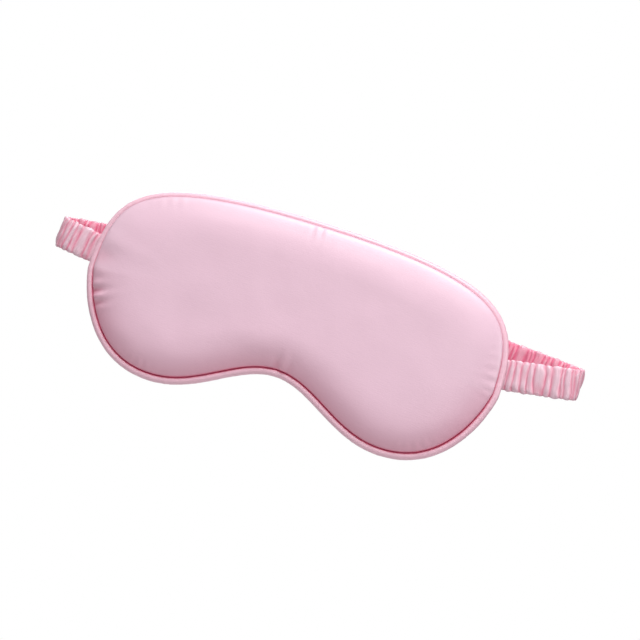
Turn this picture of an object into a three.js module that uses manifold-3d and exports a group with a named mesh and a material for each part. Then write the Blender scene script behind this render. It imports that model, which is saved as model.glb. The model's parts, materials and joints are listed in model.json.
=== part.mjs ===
// Sleep eye mask: a padded satin pad with a corded edge, and a gathered elastic strap.
//
// Millimetres. +Z is up, towards the forehead. The front of the mask faces -Y and the wearer is at +Y.
// "Left" and "right" are as seen from the front, so left is -X. The origin is the middle of the pad's
// back face, where the bridge of the nose comes.

import * as THREE from 'three';
import { mergeVertices } from 'three/addons/utils/BufferGeometryUtils.js';
import Module from 'manifold-3d';

// ---- Driving dimensions ----

// Pad outline, to the outside of the piping. The right half is three curves; the left mirrors them.
const halfWidth = 105;
const halfHeight = 49.5;
const widestHeight = -5;
const lobeAcross = 59;
const noseHeight = -29;

// Pad depth, measured from the plane of the seam.
const seamPlane = -6;
const frontPuff = 7;
const backPuff = 6;
const puffSquareness = 3.2;
const fabric = 0.45;
const clearance = 0.3;

// Piping: a round cord in a folded bias strip, whose two layers run into the seam.
const pipingRadius = 1.9;
const cordRadius = 1.2;
const stripThickness = 0.35;
const flangeSlit = 0.15;
const flangeDepth = 8;

// Turned-in edge of each panel, and the stitch line beside it.
const hemStart = 4.2;
const frontHem = 1.1;
const backHem = 2.75;
const stitchInset = 5.2;
const stitchSize = 0.26;
const liningInset = 8.6;

// Strap: a gathered satin tube over a flat elastic.
const strapWidth = 16;
const strapThickness = 3.4;
const elasticWidth = 12;
const elasticThickness = 1.4;
const tackThickness = 0.3;
const tackInset = 6.4;
const tackDepth = 2.25;
// Strap end, as [inset from the pad's side, depth]: flat in the seam, then up over the piping.
const strapEndProfile = [
  [8, 1.1], [5.6, 1.1], [3.6, 2.25], [2.6, 2.35], [2.6, 3.35], [4.8, 2], [8, 1.9],
];
const strapHinge = new THREE.Vector2(-104, 2.9);
const endGap = 0.4;

// The strap's run, seen from above: lengths from bend to bend, and the heading of each length in
// degrees while it lies folded behind the pad. Widest bend is the largest angle that a bend takes.
// The two short lengths of 26 meet in the middle of the back, where the strap doesn't bend.
const strapLengths = [19, 6, 6, 52, 52, 26, 26, 52, 52, 6, 6, 33];
const strapHeadings = [180, 120, 60, 0, 0, 0, 0, 0, 0, -60, -120, -180];
const widestBends = [76, 60, 60, 60, 39, 17, 0, 15, 23, 60, 60, 60, 72];
// Height of the strap's middle at each bend: it climbs behind the pad and comes down to the right seam.
const strapHeights = [4.3, 6.7, 7.6, 9, 15, 18.4, 19, 18.4, 16.4, 13.4, 12.4, 11, 5.6];

// Mesh fineness
const outlineSteps = 72;
const puffSteps = 6;
const cordSides = 7;
const pipingSides = 9;

// ---- Outline ----

// Every outline point has a place in the plane of the pad and an outward direction.
function makeOutline() {
  const right = [
    [[0, halfHeight], [95, halfHeight], [halfWidth, 33], [halfWidth, widestHeight]],
    [[halfWidth, widestHeight], [halfWidth, -9], [96, -halfHeight], [lobeAcross, -halfHeight]],
    [[lobeAcross, -halfHeight], [34, -halfHeight], [19, noseHeight], [0, noseHeight]],
  ];
  const left = right.map((points) => points.map(([x, z]) => [-x, z]).reverse()).reverse();
  const path = new THREE.CurvePath();
  for (const points of [...right, ...left]) {
    path.add(new THREE.CubicBezierCurve(...points.map(([x, z]) => new THREE.Vector2(x, z))));
  }
  const outline = [];
  for (let i = 0; i < outlineSteps; i++) {
    const along = i / outlineSteps;
    const tangent = path.getTangentAt(along);
    outline.push({ place: path.getPointAt(along), outward: new THREE.Vector2(-tangent.y, tangent.x) });
  }
  return outline;
}

const outline = makeOutline();

// The outline moved inwards, as points of the pad's plane.
function insetOutline(inset) {
  return outline.map(({ place, outward }) => place.clone().addScaledVector(outward, -inset));
}

// ---- Building blocks ----

// A closed surface from a ring of sections. Each section is a list of points; the last section joins
// the first. An open section is closed at both ends by a single pole point.
function closedSurface(sections, poles) {
  const count = sections.length;
  const size = sections[0].length;
  const positions = sections.flat().flatMap((point) => [point.x, point.y, point.z]);
  const index = [];
  for (let i = 0; i < count; i++) {
    const here = i * size;
    const next = ((i + 1) % count) * size;
    const last = poles ? size - 1 : size;
    for (let j = 0; j < last; j++) {
      const k = (j + 1) % size;
      index.push(here + j, here + k, next + j, here + k, next + k, next + j);
    }
    if (poles) {
      const firstPole = count * size;
      index.push(firstPole, here, next, firstPole + 1, next + size - 1, here + size - 1);
    }
  }
  if (poles) positions.push(...poles.flatMap((point) => [point.x, point.y, point.z]));
  const geometry = new THREE.BufferGeometry();
  geometry.setAttribute('position', new THREE.Float32BufferAttribute(positions, 3));
  geometry.setIndex(index);
  geometry.computeVertexNormals();
  return geometry;
}

// A bar that follows the whole outline. The profile gives [inset from the edge, depth], and depth is
// measured from the plane of the seam, positive towards the wearer.
function ringAlongOutline(profile) {
  const insets = profile.map(([inset]) => insetOutline(inset));
  const sections = outline.map((_, i) =>
    profile.map(([, depth], j) => new THREE.Vector3(insets[j][i].x, depth, insets[j][i].y)));
  return closedSurface(sections, null);
}

// How far a puffed face stands out at a share of the way from the middle (0) to its edge (1).
function puffShape(share) {
  return Math.pow(1 - Math.pow(share, puffSquareness), 1 / 2);
}

// Rings of a puffed face from the middle out to an inset, as functions of the outline's index.
function puffedRings(inset, edgeDepth, middleDepth) {
  const edge = insetOutline(inset);
  const rings = [];
  for (let step = 1; step <= puffSteps; step++) {
    const share = Math.sin((step / puffSteps) * Math.PI / 2);
    const depth = edgeDepth + (middleDepth - edgeDepth) * puffShape(share);
    rings.push((i) => new THREE.Vector3(edge[i].x * share, depth, edge[i].y * share));
  }
  return rings;
}

// Points at one inset and depth, as a function of the outline's index.
function flatRing(inset, depth) {
  const edge = insetOutline(inset);
  return (i) => new THREE.Vector3(edge[i].x, depth, edge[i].y);
}

// A body of rings from a pole on the back to a pole on the front.
function layeredBody(rings, backPole, frontPole) {
  const sections = outline.map((_, i) => rings.map((ring) => ring(i)));
  return closedSurface(sections, [new THREE.Vector3(0, backPole, 0), new THREE.Vector3(0, frontPole, 0)]);
}

// Mirrors a body through the plane of the seam and turns its faces out again.
function mirrorDepth(geometry) {
  const mirrored = geometry.clone().scale(1, -1, 1);
  const index = Array.from(mirrored.index.array);
  for (let i = 0; i < index.length; i += 3) {
    [index[i], index[i + 1]] = [index[i + 1], index[i]];
  }
  mirrored.setIndex(index);
  mirrored.computeVertexNormals();
  return mirrored;
}

// ---- Solid cuts ----

const wasm = await Module();
wasm.setup();

function toSolid(geometry) {
  const plain = geometry.clone();
  plain.deleteAttribute('normal');
  plain.deleteAttribute('uv');
  const merged = mergeVertices(plain, 1e-4);
  return new wasm.Manifold(new wasm.Mesh({
    numProp: 3,
    vertProperties: new Float32Array(merged.attributes.position.array),
    triVerts: new Uint32Array(merged.index.array),
  }));
}

function toGeometry(solid) {
  const mesh = solid.getMesh();
  const geometry = new THREE.BufferGeometry();
  geometry.setAttribute('position', new THREE.Float32BufferAttribute(mesh.vertProperties, 3));
  geometry.setIndex(Array.from(mesh.triVerts));
  geometry.computeVertexNormals();
  return geometry;
}

function cut(geometry, ...tools) {
  return toGeometry(tools.reduce((solid, tool) => solid.subtract(toSolid(tool)), toSolid(geometry)));
}

// ---- Pad pieces ----

// A satin panel: the puffed face and its turned-in edge, as one piece of cloth. The back panel's edge
// lies further from the seam, because the strap ends pass under it.
function panel(puff, hemHeight) {
  const outer = puffedRings(hemStart, hemHeight + 2 * fabric, puff);
  const inner = puffedRings(hemStart + fabric, hemHeight + fabric, puff - fabric);
  const hem = [
    flatRing(hemStart, hemHeight),
    flatRing(liningInset, hemHeight),
    flatRing(liningInset, hemHeight + fabric),
  ];
  return layeredBody([...outer, ...hem, ...inner.reverse()], puff, puff - fabric);
}

// The filling between a panel and the lining.
function wadding(puff) {
  const top = puff - fabric - clearance;
  const rim = liningInset + clearance;
  const base = fabric / 2 + clearance;
  const edge = insetOutline(rim);
  const rings = [];
  for (let step = 1; step <= puffSteps; step++) {
    const share = step / puffSteps;
    const depth = base + (top - base) * puffShape(share * 0.94);
    rings.push((i) => new THREE.Vector3(edge[i].x * share, depth, edge[i].y * share));
  }
  rings.push(flatRing(rim, base));
  return layeredBody(rings, top, base);
}

function blackoutLining() {
  const rings = [flatRing(liningInset, fabric / 2), flatRing(liningInset, -fabric / 2)];
  return layeredBody(rings, fabric / 2, -fabric / 2);
}

function circleProfile(inset, radius, sides) {
  const profile = [];
  for (let i = 0; i < sides; i++) {
    const angle = (i / sides) * 2 * Math.PI;
    profile.push([inset + radius * Math.cos(angle), radius * Math.sin(angle)]);
  }
  return profile;
}

// The bias strip: round the cord, then inwards as two flat layers with a slit between them.
function pipingCover() {
  const outer = [];
  const inner = [];
  const innerRadius = pipingRadius - stripThickness;
  const opening = 0.26;
  for (let i = 0; i <= pipingSides; i++) {
    const angle = Math.PI * (opening + (2 - 2 * opening) * (i / pipingSides));
    const outerAngle = Math.min(Math.max(angle, opening * Math.PI), (2 - opening) * Math.PI);
    outer.push([pipingRadius + pipingRadius * Math.cos(outerAngle), pipingRadius * Math.sin(outerAngle)]);
    inner.push([pipingRadius + innerRadius * Math.cos(angle), innerRadius * Math.sin(angle)]);
  }
  const layer = flangeSlit + stripThickness;
  const neck = pipingRadius + pipingRadius;
  const profile = [
    [flangeDepth, layer],
    [neck, layer],
    ...outer,
    [neck, -layer],
    [flangeDepth, -layer],
    [flangeDepth, -flangeSlit],
    [neck - stripThickness, -flangeSlit],
    ...inner.reverse(),
    [neck - stripThickness, flangeSlit],
    [flangeDepth, flangeSlit],
  ];
  return ringAlongOutline(profile);
}

function seamThread() {
  const near = stitchInset - stitchSize / 2;
  const far = stitchInset + stitchSize / 2;
  const low = flangeSlit + stripThickness + 0.1;
  const high = low + stitchSize;
  return ringAlongOutline([[near, low], [far, low], [far, high], [near, high]]);
}

// The flattened end of the strap that is caught in the side seam, between the piping and the back
// panel. Side is -1 at the left, +1 at the right. Its profile is seen from above.
function sewnHeight(side) {
  return side < 0 ? strapHeights[0] : strapHeights[strapHeights.length - 1];
}

function strapEnd(side) {
  const corners = strapEndProfile.map(([inset, depth]) =>
    new THREE.Vector2(side * (halfWidth - inset), depth));
  const height = strapWidth - 2;
  const solid = new THREE.ExtrudeGeometry(new THREE.Shape(corners), { depth: height, bevelEnabled: false });
  return solid.translate(0, 0, sewnHeight(side) - height / 2);
}

// The dense stitches across a strap end, on the side of the wearer.
function barTack(side) {
  const box = new THREE.BoxGeometry(1.2, tackThickness, strapWidth - 4);
  return box.translate(side * (halfWidth - tackInset), tackDepth, sewnHeight(side));
}

// ---- Strap lengths ----

// The bends, in order from the left seam to the right seam, as places seen from above.
function strapBends() {
  const bends = [strapHinge.clone()];
  strapLengths.forEach((length, i) => {
    const heading = THREE.MathUtils.degToRad(strapHeadings[i]);
    const step = new THREE.Vector2(Math.cos(heading), Math.sin(heading)).multiplyScalar(length);
    bends.push(bends[i].clone().add(step));
  });
  return bends;
}

const bends = strapBends();

// Room that a length leaves at a bend, so that its corners stay clear of the next length.
function roomAtBend(i) {
  return (strapThickness / 2) * Math.tan(THREE.MathUtils.degToRad(widestBends[i] / 2)) + endGap;
}

// A straight bar between bend i and bend i + 1, with its ends kept back. It climbs with the strap.
function strapBar(i, thickness, width, extra) {
  const start = roomAtBend(i) + extra;
  const end = strapLengths[i] - roomAtBend(i + 1) - extra;
  const bar = new THREE.BoxGeometry(end - start, thickness, width);
  bar.translate((start + end) / 2, 0, 0);
  const climb = (strapHeights[i + 1] - strapHeights[i]) / strapLengths[i];
  bar.applyMatrix4(new THREE.Matrix4().makeShear(0, climb, 0, 0, 0, 0));
  bar.rotateZ(THREE.MathUtils.degToRad(strapHeadings[i]));
  return bar.translate(bends[i].x, bends[i].y, strapHeights[i]);
}

function strapCover(i) {
  const wall = 0.45;
  const hollow = strapBar(i, strapThickness - 2 * wall, strapWidth - 2 * wall, -1);
  return cut(strapBar(i, strapThickness, strapWidth, 0), hollow);
}

function strapElastic(i) {
  return strapBar(i, elasticThickness, elasticWidth, 0.1);
}

// ---- Materials ----

const satin = { color: 0xe0bcca, roughness: 0.38, metalness: 0 };
const pipingSatin = { color: 0xdd9ab0, roughness: 0.4, metalness: 0 };
const strapSatin = { color: 0xe3a3b4, roughness: 0.42, metalness: 0 };
const filling = { color: 0xf3efec, roughness: 0.95, metalness: 0 };
const liningCloth = { color: 0x2b2a2e, roughness: 0.9, metalness: 0 };
const cordCotton = { color: 0xefe6e2, roughness: 0.9, metalness: 0 };
const elasticRubber = { color: 0xf1e4e6, roughness: 0.8, metalness: 0 };
const thread = { color: 0xd98aa4, roughness: 0.6, metalness: 0 };

// ---- Assembly ----

const mask = new THREE.Group();
mask.position.y = seamPlane;

function add(name, geometry, look) {
  const mesh = new THREE.Mesh(geometry, new THREE.MeshStandardMaterial(look));
  mesh.name = name;
  mask.add(mesh);
}

add('front_panel', mirrorDepth(panel(frontPuff, frontHem)), satin);
add('front_wadding', mirrorDepth(wadding(frontPuff)), filling);
add('blackout_lining', blackoutLining(), liningCloth);
add('back_wadding', wadding(backPuff), filling);
add('back_panel', panel(backPuff, backHem), satin);
add('piping_cover', pipingCover(), pipingSatin);
add('piping_cord', ringAlongOutline(circleProfile(pipingRadius, cordRadius, cordSides)), cordCotton);
add('seam_thread', seamThread(), thread);
add('left_strap_end', strapEnd(-1), strapSatin);
add('right_strap_end', strapEnd(1), strapSatin);
add('left_bar_tack', barTack(-1), thread);
add('right_bar_tack', barTack(1), thread);

strapLengths.forEach((_, i) => {
  const number = String(i + 1).padStart(2, '0');
  add(`strap_cover_${number}`, strapCover(i), strapSatin);
  add(`strap_elastic_${number}`, strapElastic(i), elasticRubber);
});

export default mask;
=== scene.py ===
"""Sleep eye mask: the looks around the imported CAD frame. Blender 4.5.

+Z is up, towards the forehead; the front faces -Y and the wearer is at +Y; left is -X. Dimensions are
in millimetres, and shapes are worked out as (x, depth, z), where depth is measured from the plane of
the pad's seam, positive towards the wearer. make_piece() turns them into metres in the CAD's frame.
"""

import json
import math
import random

import bmesh
import bpy
import numpy as np
from mathutils import Matrix, Vector, noise
from mathutils.geometry import delaunay_2d_cdt


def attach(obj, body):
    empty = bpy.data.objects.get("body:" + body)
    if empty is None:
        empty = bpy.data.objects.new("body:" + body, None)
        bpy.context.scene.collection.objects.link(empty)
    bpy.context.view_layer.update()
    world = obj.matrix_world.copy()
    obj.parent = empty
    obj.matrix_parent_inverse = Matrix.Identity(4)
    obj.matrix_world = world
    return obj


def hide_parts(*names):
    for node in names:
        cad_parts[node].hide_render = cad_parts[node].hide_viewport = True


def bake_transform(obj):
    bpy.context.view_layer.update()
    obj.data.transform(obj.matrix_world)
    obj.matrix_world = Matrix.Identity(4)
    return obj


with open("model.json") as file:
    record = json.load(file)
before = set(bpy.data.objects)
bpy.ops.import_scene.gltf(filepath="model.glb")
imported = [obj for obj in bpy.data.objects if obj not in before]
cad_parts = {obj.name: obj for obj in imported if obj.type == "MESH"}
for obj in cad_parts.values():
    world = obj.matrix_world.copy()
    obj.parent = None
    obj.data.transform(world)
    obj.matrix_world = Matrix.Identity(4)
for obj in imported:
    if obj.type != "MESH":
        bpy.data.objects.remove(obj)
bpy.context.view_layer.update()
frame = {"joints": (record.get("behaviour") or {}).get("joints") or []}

# ---- Dimensions, in millimetres ----

MM = 0.001
SEAM_PLANE = -6.0

# Pad outline, to the outside of the piping
HALF_WIDTH = 105.0
HALF_HEIGHT = 49.5
WIDEST_HEIGHT = -5.0
LOBE_ACROSS = 59.0
NOSE_HEIGHT = -29.0

# Panels: how far each stands out from the seam, and how its side rounds over
FRONT_CROWN = 6.9
BACK_CROWN = 5.9
PUFF_REACH = 19.0
PUFF_SQUARENESS = 2.0
PANEL_EDGE = 3.75
PANEL_EDGE_DEPTH = 0.35
CLOTH = 0.35
HEM_WIDTH = 4.6


# What is added to a panel's height: along its top, over a strap end, in fine gathers and in soft lumps
TOP_FULLNESS = 0.3
STRAP_LIFT = 2.2
SEAM_GATHER = 0.16
LUMP = 0.32

# How far a panel leans out over the piping, and how far in from its edge it leans most.
# Each is given at the bottom of the pad, and then how much more it is at the top.
LEAN = 0.6
LEAN_MORE_AT_TOP = 1.7
LEAN_PEAK = 0.9
LEAN_PEAK_MORE_AT_TOP = 0.5

# Piping
PIPING_RADIUS = 1.9
CORD_RADIUS = 1.2
STRIP_THICKNESS = 0.35
PIPING_WRINKLE = 0.09
CORD_LAY = 9.0
FLANGE_SLIT = 0.15
FLANGE_INSET = 8.0
STITCH_INSET = 5.2
STITCH_PITCH = 2.4
STITCH_DIP = 0.75
STITCH_RADIUS = 0.13
LINING_INSET = 8.6
LINING_THICKNESS = 0.4

# Strap: its centreline seen from above, and its section
STRAP_WIDTH = 15.4
STRAP_THICKNESS = 3.0
ELASTIC_WIDTH = 12.0
ELASTIC_THICKNESS = 1.2
SEAM_X = 104.0
FRONT_RUN_DEPTH = 2.9
TURN_RADIUS = 5.196
LEFT_TURN_X = -120.0
RIGHT_TURN_X = 134.0
STRAP_MIDDLE_X = 7.0
# How far each strap end runs into the side seam, and how far forward it bends there
TUCK = 6.0
TUCK_BEND = 1.1

# Bar tacks: rows of zigzag stitches across the strap ends. Their inset is from the pad's outer edge,
# and their margin from the strap's edges.
TACK_TURNS = 26
TACK_INSET = 6.4
TACK_SWING = 0.55
TACK_DEPTH = 2.55
TACK_MARGIN = 2.0
TACK_RADIUS = 0.14

# Mesh spacing, and how far in from its edge each ring of a panel's or filling's points lies
PANEL_SPACING = 1.5
PANEL_RINGS = [0, 0.3, 0.7, 1.2, 1.9, 2.8, 3.9]
FILLING_SPACING = 2.2
FILLING_RINGS = [0, 0.5, 1.3]
PIPING_SPACING = 0.55
CORD_SPACING = 0.7
THREAD_SPACING = 0.3
COVER_SPACING = 0.24
ELASTIC_SPACING = 0.3

# ---- Painted shade: how much of the deep pink painted shade shows, from 0 to 1 ----

# On a panel: painted shade beside its seam, along the pad's lower side and in its puckers
SEAM_PAINTED_SHADE = 0.8
LOWER_PAINTED_SHADE = 0.4
PUCKER_PAINTED_SHADE = 0.6
# On the strap: painted shade in the valleys between its gathers, and on the side that faces into its loop
VALLEY_PAINTED_SHADE = 0.8
INSIDE_PAINTED_SHADE = 0.55

# ---- Studio: in metres, watts and degrees ----

FLOOR_HEIGHT = -0.9
FLOOR_RADIUS = 1.5
FILL_COLOUR = (1.0, 0.76, 0.83)
FILL_STRENGTH = 0.09
# Each light: its place, its size and its power
LIGHTS = {
    "key_light": ((0.02, -0.62, 1.25), 0.8, 26),
    "front_light": ((0.1, -1.6, 0.1), 1.0, 5),
    "side_light": ((1.35, -0.55, 0.3), 0.8, 8),
    "fill_light": ((-1.2, -0.7, 0.6), 0.8, 4),
    "back_light": ((-0.4, 1.4, 0.7), 1.0, 20),
}

CAMERA_PAN = 8
CAMERA_TILT = -4
CAMERA_ROLL = 18.2
CAMERA_DISTANCE = 0.9
# The lens is in millimetres, and the shift is a share of the picture's width
CAMERA_LENS = 104.8
CAMERA_SHIFT = 0.041

# ---- Materials ----


def new_material(name, colour, roughness):
    """A Principled material, and the parts that the cloth functions build on."""
    material = bpy.data.materials.new(name)
    material.use_nodes = True
    nodes = material.node_tree.nodes
    links = material.node_tree.links
    shader = nodes["Principled BSDF"]
    shader.inputs["Base Color"].default_value = (*colour, 1)
    shader.inputs["Roughness"].default_value = roughness
    return material, nodes, links, shader


def object_mapping(nodes, links, scale):
    """Object coordinates, in metres, multiplied by a scale on each axis."""
    coordinates = nodes.new("ShaderNodeTexCoord")
    mapping = nodes.new("ShaderNodeMapping")
    mapping.inputs["Scale"].default_value = scale
    links.new(coordinates.outputs["Object"], mapping.inputs["Vector"])
    return mapping.outputs["Vector"]


def noise_value(nodes, links, scale, detail):
    """Noise over the object; scale gives its features per metre on each axis."""
    texture = nodes.new("ShaderNodeTexNoise")
    texture.inputs["Scale"].default_value = 1.0
    texture.inputs["Detail"].default_value = detail
    links.new(object_mapping(nodes, links, scale), texture.inputs["Vector"])
    return texture.outputs["Fac"]


def tinted(nodes, links, factor, dark, light):
    """A colour that runs from dark to light with a factor."""
    ramp = nodes.new("ShaderNodeValToRGB")
    ramp.color_ramp.elements[0].position = 0.3
    ramp.color_ramp.elements[0].color = (*dark, 1)
    ramp.color_ramp.elements[1].position = 0.7
    ramp.color_ramp.elements[1].color = (*light, 1)
    links.new(factor, ramp.inputs["Fac"])
    return ramp.outputs["Color"]


def mixed(nodes, links, first, second, share):
    """Two factors added together, the second with a share."""
    mix = nodes.new("ShaderNodeMath")
    mix.operation = "MULTIPLY_ADD"
    mix.inputs[1].default_value = share
    links.new(second, mix.inputs[0])
    links.new(first, mix.inputs[2])
    return mix.outputs["Value"]


def bumped(nodes, links, shader, height, depth):
    """Bump from a height between 0 and 1, as deep as depth in metres."""
    bump = nodes.new("ShaderNodeBump")
    bump.inputs["Strength"].default_value = 1.0
    bump.inputs["Distance"].default_value = depth
    links.new(height, bump.inputs["Height"])
    links.new(bump.outputs["Normal"], shader.inputs["Normal"])


def satin(name, dark, light, painted_shade, roughness, wrinkle):
    """Satin: long smooth floats with fine threads between them, a fine grain and a soft sheen.

    A painted shade colour shows deep in folds and seams, where the mesh's painted shade attribute is near
    1.
    """
    material, nodes, links, shader = new_material(name, light, roughness)
    drift = noise_value(nodes, links, (38, 38, 38), 1.0)
    threads = noise_value(nodes, links, (420, 420, 3600), 1.0)
    crosswise = noise_value(nodes, links, (2600, 2600, 500), 1.0)
    creases = noise_value(nodes, links, (190, 190, 120), 3.0)
    grain = noise_value(nodes, links, (2200, 2200, 2200), 2.0)
    tone = mixed(nodes, links, mixed(nodes, links, grain, threads, 0.3), drift, 0.12)
    # Painted shade: the mesh's attribute mixes the colour towards the painted shade colour in folds and
    # seams
    depth = nodes.new("ShaderNodeAttribute")
    depth.attribute_name = "painted_shade"
    shade = nodes.new("ShaderNodeMix")
    shade.data_type = "RGBA"
    shade.inputs["B"].default_value = (*painted_shade, 1)
    links.new(depth.outputs["Fac"], shade.inputs["Factor"])
    links.new(tinted(nodes, links, tone, dark, light), shade.inputs["A"])
    links.new(shade.outputs["Result"], shader.inputs["Base Color"])
    relief = mixed(nodes, links, threads, crosswise, 0.5)
    relief = mixed(nodes, links, mixed(nodes, links, relief, creases, wrinkle), grain, 0.6)
    bumped(nodes, links, shader, relief, 0.00004)
    shine = nodes.new("ShaderNodeMapRange")
    shine.inputs["To Min"].default_value = roughness - 0.05
    shine.inputs["To Max"].default_value = roughness + 0.08
    links.new(threads, shine.inputs["Value"])
    links.new(shine.outputs["Result"], shader.inputs["Roughness"])
    shader.inputs["Specular IOR Level"].default_value = 0.8
    shader.inputs["Sheen Weight"].default_value = 0.25
    shader.inputs["Sheen Roughness"].default_value = 0.4
    shader.inputs["Sheen Tint"].default_value = (1.0, 0.86, 0.92, 1)
    return material


def fibres(name, dark, light, scale, depth):
    """Matt fibres, for the wadding, the cord and the thread."""
    material, nodes, links, shader = new_material(name, light, 0.9)
    tufts = noise_value(nodes, links, (scale, scale, scale), 6.0)
    links.new(tinted(nodes, links, tufts, dark, light), shader.inputs["Base Color"])
    bumped(nodes, links, shader, tufts, depth)
    shader.inputs["Sheen Weight"].default_value = 0.3
    return material


def woven(name, dark, light, pitch, depth):
    """A plain weave with threads along X and Z, at a pitch in metres."""
    material, nodes, links, shader = new_material(name, light, 0.8)
    across = nodes.new("ShaderNodeTexWave")
    across.bands_direction = "X"
    upright = nodes.new("ShaderNodeTexWave")
    upright.bands_direction = "Z"
    for wave in (across, upright):
        wave.inputs["Scale"].default_value = 0.314 / pitch
        wave.inputs["Distortion"].default_value = 0.4
        links.new(object_mapping(nodes, links, (1, 1, 1)), wave.inputs["Vector"])
    threads = mixed(nodes, links, across.outputs["Fac"], upright.outputs["Fac"], 1.0)
    fuzz = noise_value(nodes, links, (900, 900, 900), 3.0)
    links.new(tinted(nodes, links, fuzz, dark, light), shader.inputs["Base Color"])
    bumped(nodes, links, shader, threads, depth)
    return material


# Painted shade colour: a deep pink for the shade in seams, puckers and along the pad's lower side
PAINTED_SHADE_PINK = (0.66, 0.09, 0.19)
PANEL_SATIN = satin("panel_satin", (0.65, 0.435, 0.525), (0.685, 0.465, 0.56), PAINTED_SHADE_PINK, 0.42, 0.4)
PIPING_SATIN = satin("piping_satin", (0.70, 0.41, 0.50), (0.75, 0.46, 0.55), PAINTED_SHADE_PINK, 0.40, 1.2)
# The strap's third colour is its painted shade, for the valleys of its gathers and the inside of its loop
STRAP_SATIN = satin("strap_satin", (0.63, 0.41, 0.485), (0.68, 0.46, 0.535), (0.70, 0.14, 0.25), 0.40, 1.6)
WADDING_FIBRE = fibres("wadding_fibre", (0.78, 0.78, 0.76), (0.93, 0.93, 0.91), 900, 0.0008)
BLACKOUT_CLOTH = woven("blackout_cloth", (0.012, 0.012, 0.014), (0.03, 0.03, 0.034), 0.0006, 0.0001)
CORD_COTTON = fibres("cord_cotton", (0.72, 0.70, 0.64), (0.88, 0.86, 0.80), 2400, 0.0002)
THREAD = fibres("sewing_thread", (0.70, 0.38, 0.48), (0.85, 0.55, 0.64), 5200, 0.00005)
ELASTIC_WEAVE = woven("elastic_weave", (0.74, 0.72, 0.70), (0.88, 0.87, 0.85), 0.0008, 0.00015)

# ---- Mesh making ----


def make_piece(name, points, faces, material, flat_faces=(), painted_shade=None):
    """A mesh object from (x, depth, z) points in millimetres, with its faces turned outwards."""
    places = np.asarray(points, float) + (0, SEAM_PLANE, 0)
    mesh = bpy.data.meshes.new(name)
    mesh.from_pydata((places * MM).tolist(), [], faces)
    mesh.shade_smooth()
    for index in flat_faces:
        mesh.polygons[index].use_smooth = False
    body = bmesh.new()
    body.from_mesh(mesh)
    bmesh.ops.recalc_face_normals(body, faces=body.faces)
    body.to_mesh(mesh)
    body.free()
    mesh.materials.append(material)
    # Painted shade: a point attribute, from 0 to 1, for how much of the painted shade colour shows
    if painted_shade is not None:
        mesh.attributes.new("painted_shade", "FLOAT", "POINT").data.foreach_set("value", painted_shade)
    piece = bpy.data.objects.new(name, mesh)
    bpy.context.scene.collection.objects.link(piece)
    return piece


def loop_faces(rows, columns):
    """Quads of a ring-shaped body: both its rows and its columns close on themselves."""
    faces = []
    for i in range(rows):
        for j in range(columns):
            k, m = (i + 1) % rows, (j + 1) % columns
            faces.append((i * columns + j, i * columns + m, k * columns + m, k * columns + j))
    return faces


def tube_faces(rows, columns):
    """Quads of a bar whose columns close on themselves, and its two flat ends, which come last."""
    faces = []
    for i in range(rows - 1):
        for j in range(columns):
            m = (j + 1) % columns
            a, b = i * columns, (i + 1) * columns
            faces.append((a + j, a + m, b + m, b + j))
    faces.append(tuple(range(columns)))
    faces.append(tuple(reversed(range((rows - 1) * columns, rows * columns))))
    return faces


def ripple(x, y, z, wavelength):
    """Smooth noise between -1 and 1 at a point, with features of about that wavelength."""
    return noise.noise(Vector((x / wavelength, y / wavelength, z / wavelength)))


def smooth_step(value):
    """0 below 0, 1 above 1, and a smooth rise between them."""
    share = np.clip(value, 0, 1)
    return share * share * (3 - 2 * share)


# ---- Pad outline ----


def bezier(points, count):
    """Points along a cubic curve, without its last one."""
    t = np.linspace(0, 1, count, endpoint=False)[:, None]
    a, b, c, d = (np.array(point, float) for point in points)
    return (1 - t) ** 3 * a + 3 * (1 - t) ** 2 * t * b + 3 * (1 - t) * t**2 * c + t**3 * d


class Outline:
    """The pad's outer edge at an even spacing: places and outward directions, from the top clockwise."""

    def __init__(self, spacing):
        w, h, wide = HALF_WIDTH, HALF_HEIGHT, WIDEST_HEIGHT
        right = [
            [(0, h), (95, h), (w, 33), (w, wide)],
            [(w, wide), (w, -9), (96, -h), (LOBE_ACROSS, -h)],
            [(LOBE_ACROSS, -h), (34, -h), (19, NOSE_HEIGHT), (0, NOSE_HEIGHT)],
        ]
        left = [[(-x, z) for x, z in reversed(curve)] for curve in reversed(right)]
        fine = np.concatenate([bezier(curve, 600) for curve in right + left])
        fine = np.vstack([fine, fine[:1]])
        run = np.concatenate([[0], np.cumsum(np.linalg.norm(np.diff(fine, axis=0), axis=1))])
        self.length = float(run[-1])
        self.count = round(self.length / spacing)
        self.along = np.arange(self.count) * self.length / self.count
        self.place = np.stack([np.interp(self.along, run, fine[:, i]) for i in (0, 1)], axis=1)
        step = np.roll(self.place, -1, axis=0) - np.roll(self.place, 1, axis=0)
        tangent = step / np.linalg.norm(step, axis=1)[:, None]
        self.outward = np.stack([-tangent[:, 1], tangent[:, 0]], axis=1)

    def inset(self, distance):
        """The outline moved inwards, as (x, z) places."""
        return self.place - self.outward * distance


def ring_body(outline, profile_at):
    """Points of a body along the outline. profile_at(index) gives its section as (inset, depth)."""
    points = []
    for i in range(outline.count):
        (x, z), (u, v) = outline.place[i], outline.outward[i]
        points.extend((x - u * inset, depth, z - v * inset) for inset, depth in profile_at(i))
    return points


# ---- Pad panels ----


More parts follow.
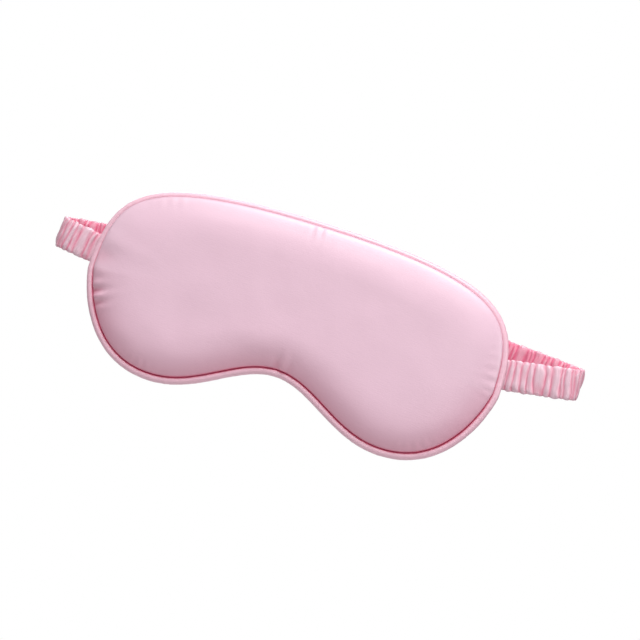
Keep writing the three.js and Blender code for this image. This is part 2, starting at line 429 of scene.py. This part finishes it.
class PadPlan:
    """A flat cut of the pad's shape: rings of points along its edge, then an even field inside them."""

    def __init__(self, edge_inset, ring_widths, spacing):
        self.outline = Outline(spacing * 0.8)
        rings = [self.outline.inset(edge_inset + width) for width in ring_widths]
        self.ring_size = self.outline.count
        self.ring_count = len(rings)
        field = self.field_points(edge_inset + ring_widths[-1] + spacing * 0.7, spacing)
        inner_ring = rings[-1]
        boundary = list(range(self.ring_size))
        candidates = [Vector(place) for place in np.vstack([inner_ring, field])]
        found = delaunay_2d_cdt(candidates, [], [boundary], 1, 1e-6)
        first = (self.ring_count - 1) * self.ring_size
        self.points = np.vstack([*rings[:-1], np.array([tuple(v) for v in found[0]])])
        self.faces = self.ring_faces()
        self.faces += [tuple(first + k for k in face) for face in found[2]]
        inset, self.nearest = self.insets_of(self.points)
        self.edge_distance = self.eased_distance(inset - edge_inset, edge_inset, ring_widths)

    def field_points(self, least_inset, spacing):
        """Points of an even triangular grid that lie further in than an inset."""
        row_step = spacing * math.sqrt(3) / 2
        rows = int(2 * HALF_HEIGHT / row_step) + 1
        columns = int(2 * HALF_WIDTH / spacing) + 1
        grid = np.array([
            (-HALF_WIDTH + (j + 0.5 * (i % 2)) * spacing, -HALF_HEIGHT + i * row_step)
            for i in range(rows) for j in range(columns)
        ])
        return grid[self.insets_of(grid)[0] > least_inset]

    def insets_of(self, places):
        """How far inside the outline each place is, and the index of the outline point next to it."""
        apart = places[:, None, :] - self.outline.place[None, :, :]
        square = (apart**2).sum(2)
        nearest = square.argmin(1)
        rows = np.arange(len(places))
        return -(apart[rows, nearest] * self.outline.outward[nearest]).sum(1), nearest

    def ring_faces(self):
        n = self.ring_size
        return [
            (i * n + j, (i + 1) * n + j, (i + 1) * n + (j + 1) % n, i * n + (j + 1) % n)
            for i in range(self.ring_count - 1) for j in range(n)
        ]

    def eased_distance(self, sharp, edge_inset, ring_widths):
        """Distance in from the edge: sharp close to it, and eased further in, so that no ridge forms."""
        edge = self.outline.inset(edge_inset)
        step = self.outline.length / self.outline.count
        # beside a straight edge, this sum over the whole edge gives the distance itself
        square = ((self.points[:, None, :] - edge[None, :, :]) ** 2).sum(2)
        field = (step / np.maximum(square, 0.25) ** 2).sum(1)
        soft = (field * 2 / math.pi) ** (-1 / 3)
        share = smooth_step((sharp - 2) / 16)
        distance = sharp * (1 - share) + soft * share
        for ring, width in enumerate(ring_widths[:-1]):
            distance[ring * self.ring_size:(ring + 1) * self.ring_size] = width
        return np.maximum(distance, 0)


def rounded_rise(distance, crown):
    """How far a padded face stands out at a distance in from its edge."""
    share = 1 - np.clip(distance / PUFF_REACH, 0, 1)
    return crown * (1 - share**PUFF_SQUARENESS) ** (1 / PUFF_SQUARENESS)


# Puckers where the seam pulls the cloth in: place (x, z), how many, pitch, reach and depth
FRONT_PUCKERS = [
    ((-99.0, -19.0), 2, 7.2, 6.0, 1.0),
    ((-101.0, 4.0), 1, 24.0, 12.0, -0.5),
    ((99.0, 2.0), 4, 5.5, 5.0, 0.22),
    ((1.0, -25.0), 1, 6.0, 6.0, 0.8),
    ((-1.0, 45.5), 2, 4.5, 5.0, 0.4),
    ((-74.0, 40.0), 3, 6.0, 5.0, 0.12),
    ((76.0, -43.0), 4, 5.5, 4.5, 0.18),
    ((-66.0, -45.0), 4, 5.0, 4.5, 0.18),
]
BACK_PUCKERS = [
    ((-101.0, 4.0), 4, 4.0, 8.0, 0.6),
    ((101.0, 4.0), 4, 4.0, 8.0, 0.6),
    ((0.0, -25.0), 3, 3.5, 5.0, 0.4),
    ((60.0, -45.0), 5, 5.0, 5.0, 0.25),
    ((-60.0, -45.0), 5, 5.0, 5.0, 0.25),
    ((0.0, 45.0), 5, 5.0, 5.0, 0.25),
]


def pucker_height(plan, puckers, seed):
    """Height that the seam's puckers and the filling's soft lumps add at each point of the plan."""
    outline = plan.outline
    along = outline.along[plan.nearest]
    distance = plan.edge_distance
    added = np.zeros(len(plan.points))
    for place, count, pitch, reach, depth in puckers:
        nearest = ((outline.place - place) ** 2).sum(1).argmin()
        away = along - outline.along[nearest]
        away -= outline.length * np.round(away / outline.length)
        spread = np.exp(-((away / (0.5 * count * pitch)) ** 2))
        fade = (distance / (0.35 * reach)) * np.exp(1 - distance / (0.35 * reach))
        added += depth * spread * fade * np.cos(2 * math.pi * away / pitch + seed)
    for i, (x, z) in enumerate(plan.points):
        gathers = ripple(along[i], seed * 10, distance[i] * 0.35, 3.2)
        lumps = ripple(x, seed * 50, z, 24) + 0.4 * ripple(x, seed * 50, z, 11)
        added[i] += SEAM_GATHER * gathers * min(distance[i], 1) * math.exp(-distance[i] / 2.6)
        added[i] += LUMP * lumps * min(distance[i] / 9, 1)
    return added


def strap_lift(plan):
    """How far the back panel's edge is lifted where a strap end passes under it, from 0 to 1."""
    lift = np.zeros(len(plan.points))
    for side, height in ((-1, strap_height(0)), (1, strap_height(STRAP_LENGTH))):
        near = plan.outline.place[plan.nearest]
        upright = np.abs(near[:, 1] - height) / (STRAP_WIDTH / 2 + 2)
        lift += (side * near[:, 0] > 0) * (1 - smooth_step((upright - 0.7) / 0.4))
    return lift


def panel_surface(plan, crown, pucker, side, lift):
    """Points of a panel's outer face, with its puckers. Side is -1 at the front and 1 at the back."""
    distance = plan.edge_distance
    outward = plan.outline.outward[plan.nearest]
    rise = rounded_rise(distance, crown) + pucker
    rise += PANEL_EDGE_DEPTH + STRAP_LIFT * lift * np.exp(-distance / 6)
    # the cloth leans out over the piping, most of all along the top
    upward = smooth_step(outward[:, 1] * 0.7 + 0.5)
    rise += TOP_FULLNESS * upward * (1 - np.exp(-distance / 0.6)) * np.exp(-distance / 9)
    peak = LEAN_PEAK + LEAN_PEAK_MORE_AT_TOP * upward
    push = (LEAN + LEAN_MORE_AT_TOP * upward) * (distance / peak) * np.exp(1 - distance / peak)
    place = plan.points + outward * push[:, None]
    return np.stack([place[:, 0], side * rise, place[:, 1]], axis=1)


def two_sided_faces(plan):
    """Faces over the plan's points, and again over a second set of them, turned the other way."""
    total = len(plan.points)
    return list(plan.faces) + [tuple(total + k for k in reversed(face)) for face in plan.faces]


def layer_faces(plan):
    """Faces of a layer with two sides of the plan's shape, joined round their edges."""
    total = len(plan.points)
    n = plan.ring_size
    return two_sided_faces(plan) + [(j, (j + 1) % n, total + (j + 1) % n, total + j) for j in range(n)]


def surface_normals(points, faces):
    """Unit normals of a surface at its points."""
    normals = np.zeros_like(points)
    for face in faces:
        corner = points[list(face)]
        normal = np.cross(corner[1] - corner[0], corner[2] - corner[0])
        normals[list(face)] += normal
    return normals / np.linalg.norm(normals, axis=1)[:, None]


def close_panel(plan, outer, side):
    """A panel as a closed body of cloth: its outer face, its inner face, and the hem between them."""
    normals = surface_normals(outer, plan.faces)
    normals *= np.sign(normals[-1, 1]) * side
    inner = outer - normals * CLOTH
    n = plan.ring_size
    total = len(outer)
    hem_points = []
    for width, depth in ((HEM_WIDTH, 0.0), (HEM_WIDTH, 0.25), (0.9, 0.3)):
        place = plan.outline.inset(PANEL_EDGE + width)
        edge_depth = outer[:n, 1] + side * depth
        hem_points.append(np.stack([place[:, 0], edge_depth, place[:, 1]], axis=1))
    inner[:n] = hem_points.pop()
    points = np.vstack([outer, inner, *hem_points])
    faces = two_sided_faces(plan)
    rows = [0, 2 * total, 2 * total + n, total]
    for first, second in zip(rows, rows[1:]):
        for j in range(n):
            k = (j + 1) % n
            faces.append((first + j, second + j, second + k, first + k))
    return points, faces


def panel_painted_shade(plan, pucker):
    """How much painted shade darkens the satin at each point of a panel's outer face, from 0 to 1."""
    distance = plan.edge_distance
    downward = smooth_step(0.3 - plan.outline.outward[plan.nearest, 1])
    valley = np.clip(-0.1 - pucker, 0, 1)
    # Painted shade: beside the seam, darker towards the pad's lower side, and in the pucker valleys
    painted_shade = SEAM_PAINTED_SHADE * (1 - smooth_step(distance / 1.1))
    painted_shade += LOWER_PAINTED_SHADE * downward * np.exp(-distance / 6)
    painted_shade += PUCKER_PAINTED_SHADE * valley * np.exp(-distance / 5)
    return np.minimum(painted_shade, 1)


def make_panel(name, plan, crown, puckers, seed, side, lift):
    pucker = pucker_height(plan, puckers, seed)
    outer = panel_surface(plan, crown, pucker, side, lift)
    points, faces = close_panel(plan, outer, side)
    painted_shade = np.zeros(len(points))
    painted_shade[:len(outer)] = panel_painted_shade(plan, pucker)
    panel = make_piece(name, points, faces, PANEL_SATIN, painted_shade=painted_shade)
    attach(panel, "pad")
    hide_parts(name)


def make_wadding(name, plan, crown, seed, side):
    """The filling: a lofty fibre pad under a panel, flat against the lining."""
    distance = plan.edge_distance
    lumps = np.array([ripple(x, seed, z, 7) + 0.5 * ripple(x, seed, z, 3) for x, z in plan.points])
    rise = rounded_rise(distance + 4.5, crown - CLOTH - 0.5)
    rise = 0.6 + (rise - 0.6) * smooth_step(distance / 3) ** 0.5 + 0.15 * lumps * smooth_step(distance / 4)
    flat = np.full(len(plan.points), side * 0.5)
    top = np.stack([plan.points[:, 0], side * rise, plan.points[:, 1]], axis=1)
    base = np.stack([plan.points[:, 0], flat, plan.points[:, 1]], axis=1)
    wadding = make_piece(name, np.vstack([top, base]), layer_faces(plan), WADDING_FIBRE)
    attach(wadding, "pad")
    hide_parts(name)


def make_lining(plan):
    """The blackout lining: a flat sheet of cloth, stretched across the seam."""
    half = LINING_THICKNESS / 2
    wave = np.array([0.12 * ripple(x, 7, z, 18) for x, z in plan.points])
    sides = [np.stack([plan.points[:, 0], wave + y, plan.points[:, 1]], axis=1) for y in (half, -half)]
    lining = make_piece("blackout_lining", np.vstack(sides), layer_faces(plan), BLACKOUT_CLOTH)
    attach(lining, "pad")
    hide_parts("blackout_lining")


# ---- Piping ----


def piping_profile(wrinkle):
    """Section of the bias strip round its cord, and of its two layers that run into the seam."""
    radius = PIPING_RADIUS + wrinkle
    inner_radius = PIPING_RADIUS - STRIP_THICKNESS
    layer = FLANGE_SLIT + STRIP_THICKNESS
    neck = 2 * PIPING_RADIUS
    opening = 0.26
    turns = [opening + (2 - 2 * opening) * i / 26 for i in range(27)]
    outer = [
        (PIPING_RADIUS + radius * math.cos(math.pi * t), radius * math.sin(math.pi * t)) for t in turns
    ]
    inner = [
        (PIPING_RADIUS + inner_radius * math.cos(math.pi * t), inner_radius * math.sin(math.pi * t))
        for t in reversed(turns)
    ]
    return [
        (FLANGE_INSET, layer), (neck, layer), *outer, (neck, -layer), (FLANGE_INSET, -layer),
        (FLANGE_INSET, -FLANGE_SLIT), (neck - 0.3, -FLANGE_SLIT), *inner,
        (neck - 0.3, FLANGE_SLIT), (FLANGE_INSET, FLANGE_SLIT),
    ]


def make_piping_cover():
    outline = Outline(PIPING_SPACING)

    def profile(i):
        x, z = outline.place[i]
        fine = ripple(x, 3, z, 1.6)
        broad = ripple(x, 9, z, 9)
        return piping_profile(PIPING_WRINKLE * fine + PIPING_WRINKLE * broad)

    points = ring_body(outline, profile)
    faces = loop_faces(outline.count, len(points) // outline.count)
    # Painted shade on the piping's side that runs into the seam's groove
    insets = np.array([inset for inset, _ in piping_profile(0)])
    painted_shade = np.tile(smooth_step((insets - 2.4) / 0.9), outline.count)
    cover = make_piece("piping_cover", points, faces, PIPING_SATIN, painted_shade=painted_shade)
    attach(cover, "pad")
    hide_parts("piping_cover")


def make_piping_cord():
    """Three strands laid round each other, as one body with a turning three-lobed section."""
    outline = Outline(CORD_SPACING)
    lay_count = round(outline.length / CORD_LAY)

    def profile(i):
        twist = 2 * math.pi * lay_count * i / outline.count
        section = []
        for k in range(24):
            angle = 2 * math.pi * k / 24
            radius = CORD_RADIUS * (0.8 + 0.2 * abs(math.cos(1.5 * (angle + twist / 3))))
            section.append((PIPING_RADIUS + radius * math.cos(angle), radius * math.sin(angle)))
        return section

    points = ring_body(outline, profile)
    cord = make_piece("piping_cord", points, loop_faces(outline.count, 24), CORD_COTTON)
    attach(cord, "pad")
    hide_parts("piping_cord")


def make_seam_thread():
    """The stitches that close the pad: one thread that dips through the layers at every stitch."""
    outline = Outline(THREAD_SPACING)
    stitches = round(outline.length / STITCH_PITCH)

    def profile(i):
        phase = 2 * math.pi * stitches * i / outline.count
        depth = STITCH_DIP * np.clip(1.6 * math.cos(phase), -1, 1)
        return [
            (STITCH_INSET + STITCH_RADIUS * math.cos(a), depth + STITCH_RADIUS * math.sin(a))
            for a in (2 * math.pi * k / 8 for k in range(8))
        ]

    points = ring_body(outline, profile)
    thread = make_piece("seam_thread", points, loop_faces(outline.count, 8), THREAD)
    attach(thread, "pad")
    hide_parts("seam_thread")


# ---- Strap ----

TURN_LENGTH = math.pi * TURN_RADIUS
LEFT_RUN = -SEAM_X - LEFT_TURN_X
BACK_RUN = RIGHT_TURN_X - LEFT_TURN_X
RIGHT_RUN = RIGHT_TURN_X - SEAM_X
STRAP_LENGTH = LEFT_RUN + TURN_LENGTH + BACK_RUN + TURN_LENGTH + RIGHT_RUN
BACK_START = LEFT_RUN + TURN_LENGTH
BACK_END = BACK_START + BACK_RUN


def strap_plan(along):
    """Place and heading of the strap's middle, seen from above, at a distance from the left seam."""
    r = TURN_RADIUS
    if along < LEFT_RUN:
        return -SEAM_X - along, FRONT_RUN_DEPTH, math.pi
    if along < BACK_START:
        turn = (along - LEFT_RUN) / r
        x, depth = LEFT_TURN_X - r * math.sin(turn), FRONT_RUN_DEPTH + r - r * math.cos(turn)
        return x, depth, math.pi - turn
    if along < BACK_END:
        return LEFT_TURN_X + along - BACK_START, FRONT_RUN_DEPTH + 2 * r, 0.0
    if along < BACK_END + TURN_LENGTH:
        turn = (along - BACK_END) / r
        x, depth = RIGHT_TURN_X + r * math.sin(turn), FRONT_RUN_DEPTH + r + r * math.cos(turn)
        return x, depth, -turn
    return RIGHT_TURN_X - (along - BACK_END - TURN_LENGTH), FRONT_RUN_DEPTH, -math.pi


def joint_place(name):
    """Where a joint is, as (x, depth, z) in millimetres."""
    place = next(joint["pos_m"] for joint in frame["joints"] if joint["name"] == name)
    return np.array(place) / MM - (0, SEAM_PLANE, 0)


def along_of(place):
    """The distance along the strap at which it passes nearest to a place."""
    trial = np.arange(0, STRAP_LENGTH, 0.25)
    apart = [math.hypot(x - place[0], depth - place[1]) for x, depth, _ in map(strap_plan, trial)]
    return float(trial[int(np.argmin(apart))])


# The strap's joints, one in each strap piece: the joint, the bodies before and after it, and the blend's
# reach
STRAP_BENDS = [
    ("strap_open", "pad", "strap_01", 3.5),
    ("left_bend_1", "strap_01", "strap_02", 1.8),
    ("left_bend_2", "strap_02", "strap_03", 1.8),
    ("left_bend_3", "strap_03", "strap_04", 1.8),
    ("left_bend_4", "strap_04", "strap_05", 20.0),
    ("left_bend_5", "strap_05", "strap_06", 20.0),
    ("right_bend_5", "strap_07", "strap_08", 20.0),
    ("right_bend_4", "strap_08", "strap_09", 20.0),
    ("right_bend_3", "strap_09", "strap_10", 1.8),
    ("right_bend_2", "strap_10", "strap_11", 1.8),
    ("right_bend_1", "strap_11", "strap_12", 1.8),
    ("right_seam", "strap_12", "pad", 3.5),
]
BEND_PLACES = [joint_place(bend[0]) for bend in STRAP_BENDS]
BEND_RUN = [along_of(place) for place in BEND_PLACES]
BEND_HEIGHTS = [place[2] for place in BEND_PLACES]


def strap_height(along):
    """Height of the strap's middle: straight from bend to bend, eased over 10 mm at each."""
    steps = np.linspace(-5, 5, 11)
    return float(np.mean(np.interp(along + steps, BEND_RUN, BEND_HEIGHTS)))


def strap_frame(along):
    """Middle of the strap, its direction, its width direction and its thickness direction."""
    x, depth, heading = strap_plan(along)
    middle = np.array([x, depth, strap_height(along)])
    # inside the seam the strap end bends forward, under the back panel's edge
    tucked = max(-along, along - STRAP_LENGTH, 0)
    middle[1] -= TUCK_BEND * float(smooth_step(tucked / 4))
    climb = (strap_height(along + 1) - strap_height(along - 1)) / 2
    direction = np.array([math.cos(heading), math.sin(heading), climb])
    direction /= np.linalg.norm(direction)
    thickness = np.array([-math.sin(heading), math.cos(heading), 0])
    width = np.cross(direction, thickness)
    return middle, direction, width, thickness


def fold_lines():
    """Where the gathers' valleys are along the strap, and how far each crest between them stands."""
    chance = random.Random(11)
    valleys, crests = [-TUCK - 3], []
    while valleys[-1] < STRAP_LENGTH + TUCK + 3:
        pitch = chance.choice((1.3, 1.7, 2.1, 2.5, 3.2, 5.0)) * chance.uniform(0.9, 1.1)
        valleys.append(valleys[-1] + pitch)
        crests.append(min(1.0, 0.45 + 0.16 * pitch) * chance.uniform(0.8, 1.1))
    return np.array(valleys), np.array(crests)


VALLEYS, CRESTS = fold_lines()


def gather(along, around, across):
    """Height of the strap's gathers, from 0 in a valley to about 1 on a crest, at a place on the tube."""
    face = math.sin(around)
    wander = 1.3 * ripple(along, 4 * across, 5 * face, 9)
    wander += 0.45 * ripple(along, 6 * across, 20 + 6 * face, 4)
    place = along + wander
    k = int(np.searchsorted(VALLEYS, place)) - 1
    share = (place - VALLEYS[k]) / (VALLEYS[k + 1] - VALLEYS[k])
    crest = CRESTS[k] * (0.85 + 0.5 * ripple(k * 7.3, 3 * across, 3 * face, 2.2))
    pleats = 0.24 * ripple(place, 1.2 * across, 2 * face, 0.85)
    return crest * math.sin(math.pi * share) ** 0.65 + pleats


def flatness(along):
    """How far the strap is pressed flat where it is sewn into the seam, from 0 to 1."""
    tucked = max(-along, along - STRAP_LENGTH)
    return float(smooth_step((tucked + 2.5) / 4))


def blunted(value, power):
    """A sine or cosine brought nearer to 1 or -1, which makes a round section squarer."""
    return math.copysign(abs(value) ** power, value)


def cover_section(along, sides):
    """Section of the gathered tube: points on a flat oval, moved out by the gathers."""
    middle, _, width, thickness = strap_frame(along)
    flat = flatness(along)
    section, creases = [], []
    for j in range(sides):
        angle = 2 * math.pi * j / sides
        across = blunted(math.cos(angle), 0.62)
        out = blunted(math.sin(angle), 0.75)
        fold = gather(along, angle, across)
        # Painted shade: in the valleys of the gathers and on the side that faces into the loop
        inside = float(smooth_step(-out / 0.8))
        valley = max(0.0, 1 - fold / 0.75)
        creases.append(min(1.0, VALLEY_PAINTED_SHADE * valley + INSIDE_PAINTED_SHADE * inside))
        half_width = STRAP_WIDTH / 2 * (0.93 + 0.09 * fold) - 0.6 * flat
        half_thickness = STRAP_THICKNESS / 2 * (0.5 + 0.8 * fold) * (1 - flat) + 0.62 * flat
        section.append(middle + width * (half_width * across) + thickness * (half_thickness * out))
    return section, creases


def elastic_section(along, sides):
    """Section of the flat elastic, with the shallow ribs of its weave."""
    middle, _, width, thickness = strap_frame(along)
    flat = flatness(along)
    section = []
    for j in range(sides):
        angle = 2 * math.pi * j / sides
        across = blunted(math.cos(angle), 0.5)
        out = blunted(math.sin(angle), 0.35)
        rib = 0.04 * math.cos(2 * math.pi * along / 0.9)
        half_thickness = (ELASTIC_THICKNESS / 2 + rib) * (1 - 0.5 * flat)
        section.append(middle + width * (ELASTIC_WIDTH / 2 * across) + thickness * (half_thickness * out))
    return section, [0.0] * sides


def strap_cuts():
    """Where the strap is split into pieces: half-way between its bends, from seam to seam."""
    cuts = [(first + second) / 2 for first, second in zip(BEND_RUN, BEND_RUN[1:])]
    cuts[len(cuts) // 2] = BACK_START + STRAP_MIDDLE_X - LEFT_TURN_X
    return [-TUCK, *cuts, STRAP_LENGTH + TUCK]


def strap_piece(name, node, start, end, section, sides, step, material):
    """One length of a strap part, swept along the strap between two cuts."""
    rows = max(4, round((end - start) / step)) + 1
    sections = [section(along, sides) for along in np.linspace(start, end, rows)]
    points = np.vstack([places for places, _ in sections])
    painted_shade = np.concatenate([creases for _, creases in sections])
    faces = tube_faces(rows, sides)
    piece = make_piece(name, points, faces, material, (len(faces) - 2, len(faces) - 1), painted_shade)
    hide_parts(node)
    return piece


def make_strap():
    cuts = strap_cuts()
    for i, (_, first, second, reach) in enumerate(STRAP_BENDS):
        heading = Vector(strap_frame(BEND_RUN[i])[1])
        number = f"{i + 1:02d}"
        cover = strap_piece(
            f"strap_satin_{number}", f"strap_cover_{number}", cuts[i], cuts[i + 1],
            cover_section, 44, COVER_SPACING, STRAP_SATIN,
        )
        elastic = strap_piece(
            f"strap_band_{number}", f"strap_elastic_{number}", cuts[i], cuts[i + 1],
            elastic_section, 24, ELASTIC_SPACING, ELASTIC_WEAVE,
        )
        for piece in (cover, elastic):
            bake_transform(piece)
        if i == 0:
            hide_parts("left_strap_end")
        if i == len(STRAP_BENDS) - 1:
            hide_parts("right_strap_end")


def make_bar_tack(name, side, along):
    """A row of zigzag stitches across a strap end."""
    steps, sides = TACK_TURNS * 6, 8
    points = []
    height = strap_height(along)
    for i in range(steps + 1):
        t = i / steps
        zig = 2 * abs(((t * TACK_TURNS) % 1) * 2 - 1) - 1
        x = side * (HALF_WIDTH - TACK_INSET + TACK_SWING * zig)
        z = height + (t - 0.5) * (STRAP_WIDTH - 2 * TACK_MARGIN)
        for k in range(sides):
            angle = 2 * math.pi * k / sides
            depth = TACK_DEPTH + TACK_RADIUS * math.cos(angle)
            points.append((x, depth, z + TACK_RADIUS * math.sin(angle)))
    tack = make_piece(name, points, tube_faces(steps + 1, sides), THREAD)
    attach(tack, "pad")
    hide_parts(name)


# ---- Building ----

panel_plan = PadPlan(PANEL_EDGE, PANEL_RINGS, PANEL_SPACING)
make_panel("front_panel", panel_plan, FRONT_CROWN, FRONT_PUCKERS, 1, -1, 0)
make_panel("back_panel", panel_plan, BACK_CROWN, BACK_PUCKERS, 2, 1, strap_lift(panel_plan))
filling_plan = PadPlan(LINING_INSET, FILLING_RINGS, FILLING_SPACING)
make_wadding("front_wadding", filling_plan, FRONT_CROWN, 1, -1)
make_wadding("back_wadding", filling_plan, BACK_CROWN, 2, 1)
make_lining(filling_plan)
make_piping_cover()
make_piping_cord()
make_seam_thread()
make_strap()
make_bar_tack("left_bar_tack", -1, 0)
make_bar_tack("right_bar_tack", 1, STRAP_LENGTH)

# ---- Studio ----


def make_floor():
    body = bmesh.new()
    bmesh.ops.create_circle(body, cap_ends=True, segments=96, radius=FLOOR_RADIUS)
    mesh = bpy.data.meshes.new("studio_floor")
    body.to_mesh(mesh)
    body.free()
    floor = bpy.data.objects.new("studio_floor", mesh)
    floor.location = (0, 0, FLOOR_HEIGHT)
    bpy.context.scene.collection.objects.link(floor)
    material, _, _, _ = new_material("studio_floor", (0.86, 0.86, 0.86), 0.9)
    mesh.materials.append(material)


def make_world():
    """White behind the object, and a weak pink fill on it."""
    world = bpy.data.worlds.new("studio")
    world.use_nodes = True
    nodes, links = world.node_tree.nodes, world.node_tree.links
    fill = nodes["Background"]
    fill.inputs["Color"].default_value = (*FILL_COLOUR, 1)
    fill.inputs["Strength"].default_value = FILL_STRENGTH
    backdrop = nodes.new("ShaderNodeBackground")
    backdrop.inputs["Color"].default_value = (1, 1, 1, 1)
    backdrop.inputs["Strength"].default_value = 1.0
    path = nodes.new("ShaderNodeLightPath")
    mix = nodes.new("ShaderNodeMixShader")
    links.new(path.outputs["Is Camera Ray"], mix.inputs["Fac"])
    links.new(fill.outputs["Background"], mix.inputs[1])
    links.new(backdrop.outputs["Background"], mix.inputs[2])
    links.new(mix.outputs["Shader"], nodes["World Output"].inputs["Surface"])
    bpy.context.scene.world = world


def make_light(name, place, size, power):
    """A soft square light that faces the mask."""
    data = bpy.data.lights.new(name, "AREA")
    data.shape = "SQUARE"
    data.size = size
    data.energy = power
    light = bpy.data.objects.new(name, data)
    light.location = place
    light.rotation_euler = (-Vector(place)).to_track_quat("-Z", "Y").to_euler()
    bpy.context.scene.collection.objects.link(light)


def make_camera():
    """Slightly right of the mask and slightly below it, rolled so that its right end looks lower."""
    pan, tilt, roll = (math.radians(angle) for angle in (CAMERA_PAN, CAMERA_TILT, CAMERA_ROLL))
    back = Vector((math.sin(pan) * math.cos(tilt), -math.cos(pan) * math.cos(tilt), math.sin(tilt)))
    level = Vector((math.cos(pan), math.sin(pan), 0))
    above = back.cross(level)
    right = level * math.cos(roll) + above * math.sin(roll)
    up = above * math.cos(roll) - level * math.sin(roll)
    data = bpy.data.cameras.new("camera")
    data.lens = CAMERA_LENS
    data.sensor_width = 36
    data.shift_x = CAMERA_SHIFT
    camera = bpy.data.objects.new("camera", data)
    place = Vector((0, SEAM_PLANE * MM, 0)) + back * CAMERA_DISTANCE
    camera.matrix_world = Matrix.Translation(place) @ Matrix((right, up, back)).transposed().to_4x4()
    bpy.context.scene.collection.objects.link(camera)
    bpy.context.scene.camera = camera


make_floor()
make_world()
for light_name, (light_place, light_size, light_power) in LIGHTS.items():
    make_light(light_name, light_place, light_size, light_power)
make_camera()
bpy.context.scene.view_settings.view_transform = "Standard"
